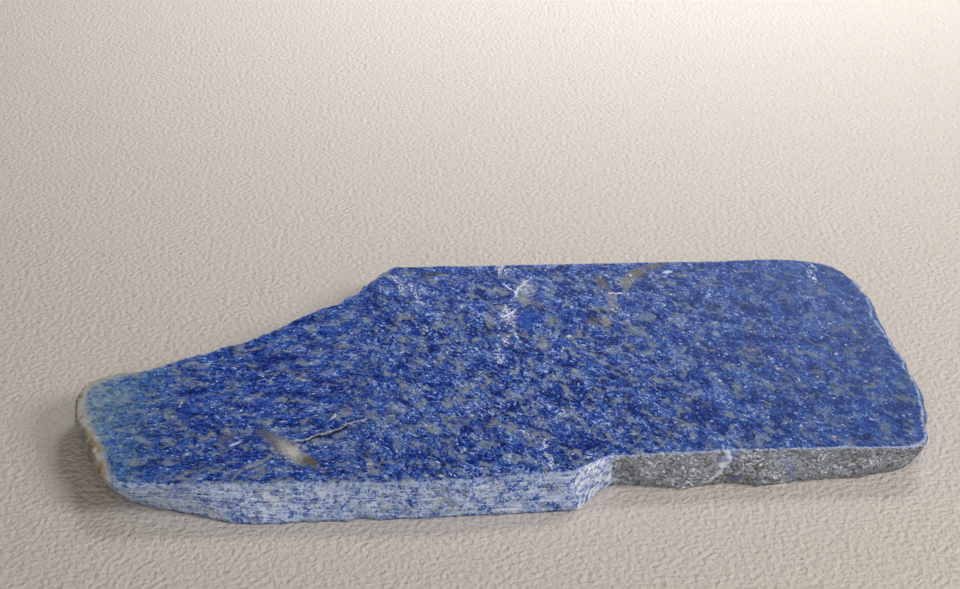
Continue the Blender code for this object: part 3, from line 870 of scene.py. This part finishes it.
    rough = add(
        tree, "ShaderNodeMapRange", {"Value": grain, "From Min": 0.35, "From Max": 0.65, "To Min": 0.5, "To Max": 0.7}
    )
    rough = add(
        tree, "ShaderNodeMath", {0: zones["on_wall"], 1: 0.2, 2: rough}, operation="MULTIPLY_ADD", use_clamp=True
    )
    tree.links.new(rough.outputs[0], shader.inputs["Roughness"])
    shader.inputs["Specular IOR Level"].default_value = LOW_SPECULAR
    pitted = add(tree, "ShaderNodeTexNoise", {"Vector": place, "Scale": 1.5, "Detail": 5.0, "Roughness": 0.75})
    depth = add(tree, "ShaderNodeMath", {0: zones["on_wall"], 1: 0.6, 2: 0.12}, operation="MULTIPLY_ADD")
    bump = add(
        tree, "ShaderNodeBump", {"Strength": depth, "Distance": 0.35 * MM, "Height": pitted.outputs["Fac"]}
    )
    tree.links.new(bump.outputs[0], shader.inputs["Normal"])
    return material


def floor_material(colour):
    """Matte pale paper with a fine tooth, which scatters the light evenly."""
    material = bpy.data.materials.new("pale_paper_floor")
    material.use_nodes = True
    tree = material.node_tree
    shader = tree.nodes["Principled BSDF"]
    shader.inputs["Base Color"].default_value = (*colour, 1.0)
    shader.inputs["Roughness"].default_value = MATTE
    place = add(tree, "ShaderNodeTexCoord").outputs["Object"]
    tooth = add(tree, "ShaderNodeTexNoise", {"Vector": place, "Scale": 900.0, "Detail": 1.5, "Roughness": 0.5})
    bump = add(tree, "ShaderNodeBump", {"Strength": 1.0, "Distance": 0.65 * MM, "Height": tooth.outputs["Fac"]})
    tree.links.new(bump.outputs[0], shader.inputs["Normal"])
    return material


def area_light(name, place, target, size, power, colour):
    data = bpy.data.lights.new(name, "AREA")
    data.shape = "SQUARE"
    data.size = size
    data.energy = power
    data.color = colour
    light = bpy.data.objects.new(name, data)
    light.location = place
    light.rotation_euler = (Vector(target) - Vector(place)).to_track_quat("-Z", "Y").to_euler()
    bpy.context.scene.collection.objects.link(light)
    return light


class LAPIS_OT_set_stage(bpy.types.Operator):
    """Set the plain pale floor, the soft light and the camera"""

    bl_idname = "lapis.set_stage"
    bl_label = "Set the stage"

    def execute(self, context):
        stage = context.scene.lapis_stage
        bpy.ops.object.select_all(action="DESELECT")
        bpy.ops.mesh.primitive_plane_add(size=stage.floor_size, location=(0.0, 0.0, UNDERSIDE))
        floor = context.active_object
        floor.name = "floor"
        floor.data.materials.append(floor_material(stage.floor))
        area_light("key", (0.357, -0.19, 0.294), (0.0, 0.0, 0.0), 0.17, stage.key_power, (1.0, 0.98, 0.95))
        area_light("front", (-0.05, -0.6, 0.38), (0.0, 0.0, 0.0), 0.6, stage.front_power, (1.0, 0.99, 0.98))
        backdrop = area_light(
            "backdrop", (0.26, 0.4, 0.54), (0.06, 0.33, 0.0), 0.3, stage.fill_power, (0.97, 0.98, 1.0)
        )
        backdrop.data.spread = BACKDROP_SPREAD
        world = bpy.data.worlds.new("soft_daylight")
        world.use_nodes = True
        background = world.node_tree.nodes["Background"]
        background.inputs["Color"].default_value = SKY_COLOUR
        background.inputs["Strength"].default_value = stage.sky
        context.scene.world = world
        context.scene.view_settings.view_transform = "Standard"
        camera = bpy.data.objects.new("camera", bpy.data.cameras.new("camera"))
        camera.data.lens = stage.lens
        camera.data.sensor_width = SENSOR_MM
        camera.data.clip_start = CLIP_START
        camera.location = Vector(CAMERA_PLACE_MM) * MM
        camera.rotation_euler = Vector(CAMERA_DIRECTION).to_track_quat("-Z", "Y").to_euler()
        context.scene.collection.objects.link(camera)
        context.scene.camera = camera
        return {"FINISHED"}


class LAPIS_PT_sidebar(bpy.types.Panel):
    """The slab's and the stage's settings"""

    bl_idname = "LAPIS_PT_sidebar"
    bl_label = "Lapis slab"
    bl_space_type = "VIEW_3D"
    bl_region_type = "UI"
    bl_category = "Lapis"

    def draw(self, context):
        scene = context.scene
        for settings, operator in (
            ((scene.lapis_relief, scene.lapis_colours), LAPIS_OT_model_slab),
            ((scene.lapis_stage,), LAPIS_OT_set_stage),
        ):
            for group in settings:
                for name in group.__annotations__:
                    self.layout.prop(group, name)
            self.layout.operator(operator.bl_idname)


CLASSES = (LapisRelief, LapisColours, LapisStage, LAPIS_OT_model_slab, LAPIS_OT_set_stage, LAPIS_PT_sidebar)


def register():
    for kind in CLASSES:
        bpy.utils.register_class(kind)
    bpy.types.Scene.lapis_relief = PointerProperty(type=LapisRelief)
    bpy.types.Scene.lapis_colours = PointerProperty(type=LapisColours)
    bpy.types.Scene.lapis_stage = PointerProperty(type=LapisStage)


def unregister():
    del bpy.types.Scene.lapis_stage
    del bpy.types.Scene.lapis_colours
    del bpy.types.Scene.lapis_relief
    for kind in reversed(CLASSES):
        bpy.utils.unregister_class(kind)


def main():
    register()
    bpy.ops.lapis.model_slab()
    bpy.ops.lapis.set_stage()


if __name__ == "__main__":
    main()
